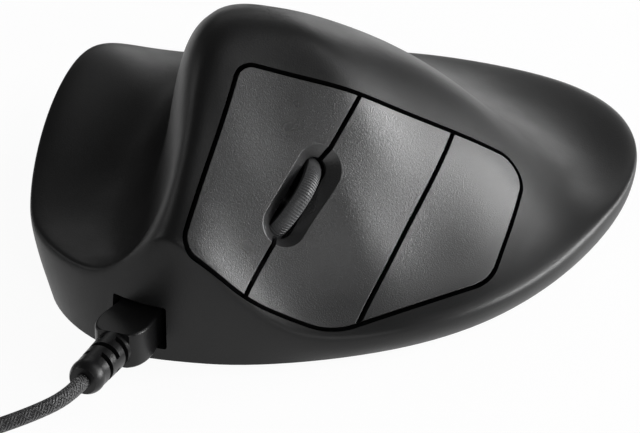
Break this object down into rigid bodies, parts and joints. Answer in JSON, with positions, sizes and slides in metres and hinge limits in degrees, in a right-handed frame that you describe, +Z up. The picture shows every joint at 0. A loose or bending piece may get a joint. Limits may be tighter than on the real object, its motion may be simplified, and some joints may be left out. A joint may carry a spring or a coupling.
{
  "type": "ergonomic computer mouse",
  "caption": "Left-handed sculpted computer mouse that carries the whole hand, with three buttons, a rocking scroll wheel, glide feet and a detachable braided lead.",
  "frame": {"origin": "on the desk, under the middle of the mouse's outline, lead left out", "axes": "+Z up, -Y towards the finger tips and the plug, -X towards the thumb, +X towards the little finger"},
  "size_m": [0.1915, 0.2374, 0.0667],
  "materials": {
    "shell": "fine spark-eroded grain, near black",
    "panel": "slightly stronger grain, satin",
    "frame": "natural grey moulding",
    "board": "green solder mask",
    "switch": "moulded switch body",
    "steel": "bright drawn steel",
    "plug_metal": "nickel-plated, formed",
    "plunger": "ivory plastic",
    "hub": "moulded, satin",
    "tyre": "ribbed soft rubber, dark grey",
    "lens": "clear moulded lens",
    "cell": "foil pouch",
    "knob": "smooth",
    "screw": "blackened steel",
    "glide": "low-friction pad, slightly waxy",
    "overmould": "soft satin overmould",
    "braid": "braided sleeve, black with grey flecks",
    "strap": "hook-and-loop strap"
  },
  "bodies": {
    "housing": {"upper_shell": "shell", "base_plate": "shell", "button_chassis": "frame", "button_board": "board", "main_board": "board", "sensor_chip": "switch", "sensor_lens": "lens", "battery_cell": "cell", "power_switch": "steel", "usb_socket": "plug_metal", "switch_index": "switch", "switch_middle": "switch", "switch_ring": "switch", "switch_click": "switch", "hinge_pin_index": "steel", "hinge_pin_middle": "steel", "hinge_pin_ring": "steel", "cradle_pin": "steel", "screw_1": "screw", "screw_2": "screw", "screw_3": "screw", "screw_4": "screw", "foot_front": "glide", "foot_back": "glide", "foot_left": "glide", "foot_right": "glide"},
    "index_button": {"button_index": "panel"},
    "index_plunger": {"plunger_index": "plunger"},
    "middle_button": {"button_middle": "panel"},
    "middle_plunger": {"plunger_middle": "plunger"},
    "ring_button": {"button_ring": "panel"},
    "ring_plunger": {"plunger_ring": "plunger"},
    "wheel_cradle": {"wheel_cradle": "frame", "wheel_encoder": "switch"},
    "wheel": {"wheel_hub": "hub", "wheel_tyre": "tyre", "wheel_axle": "steel"},
    "click_plunger": {"plunger_click": "plunger"},
    "power_knob": {"power_knob": "knob"},
    "cable": {"plug_shell": "plug_metal", "plug_body": "overmould", "plug_boot": "overmould", "cord_lead": "braid", "cord_coil": "braid", "coil_tie": "strap", "cord_tail": "braid", "usb_boot": "overmould", "usb_body": "overmould", "usb_shell": "plug_metal", "usb_tongue": "switch"}
  },
  "joints": [
    {"name": "index_press", "type": "hinge", "parent": "housing", "child": "index_button", "pos_m": [-0.00607, -0.03534, 0.04613], "axis": [0.7579, 0.2196, -0.6143], "range_deg": [0, 1.11], "stiffness_Nm_per_rad": 0.84},
    {"name": "index_plunge", "type": "slide", "parent": "housing", "child": "index_plunger", "axis": [-0.6312, 0.4851, -0.6052], "range_m": [0, 0.00047]},
    {"name": "middle_press", "type": "hinge", "parent": "housing", "child": "middle_button", "pos_m": [0.01983, -0.01985, 0.03153], "axis": [0.7579, 0.2196, -0.6143], "range_deg": [0, 0.944], "stiffness_Nm_per_rad": 0.84},
    {"name": "middle_plunge", "type": "slide", "parent": "housing", "child": "middle_plunger", "axis": [-0.6312, 0.4851, -0.6052], "range_m": [0, 0.00047]},
    {"name": "ring_press", "type": "hinge", "parent": "housing", "child": "ring_button", "pos_m": [0.03593, -0.00879, 0.0236], "axis": [0.7579, 0.2196, -0.6143], "range_deg": [0, 1.27], "stiffness_Nm_per_rad": 0.84},
    {"name": "ring_plunge", "type": "slide", "parent": "housing", "child": "ring_plunger", "axis": [-0.6312, 0.4851, -0.6052], "range_m": [0, 0.00047]},
    {"name": "wheel_click", "type": "hinge", "parent": "housing", "child": "wheel_cradle", "pos_m": [0.00547, -0.0274, 0.03798], "axis": [0.7579, 0.2196, -0.6143], "range_deg": [0, 0.508], "stiffness_Nm_per_rad": 1.9},
    {"name": "click_plunge", "type": "slide", "parent": "housing", "child": "click_plunger", "axis": [-0.6312, 0.4851, -0.6052], "range_m": [0, 0.00037]},
    {"name": "wheel_turn", "type": "hinge", "parent": "wheel_cradle", "child": "wheel", "pos_m": [0.00267, -0.04465, 0.02835], "axis": [-0.7579, -0.2196, 0.6143], "continuous": true},
    {"name": "power_slide", "type": "slide", "parent": "housing", "child": "power_knob", "axis": [1, 0, 0], "range_m": [0, 0.003]},
    {"name": "plug_out", "type": "slide", "parent": "housing", "child": "cable", "axis": [-0.0785, -0.9969, 0], "range_m": [0, 0.007]}
  ],
  "couplings": [
    {"joint": "index_plunge", "follows": "index_press", "m_per_rad": 0.0233},
    {"joint": "middle_plunge", "follows": "middle_press", "m_per_rad": 0.0273},
    {"joint": "ring_plunge", "follows": "ring_press", "m_per_rad": 0.0203},
    {"joint": "click_plunge", "follows": "wheel_click", "m_per_rad": 0.0395}
  ]
}
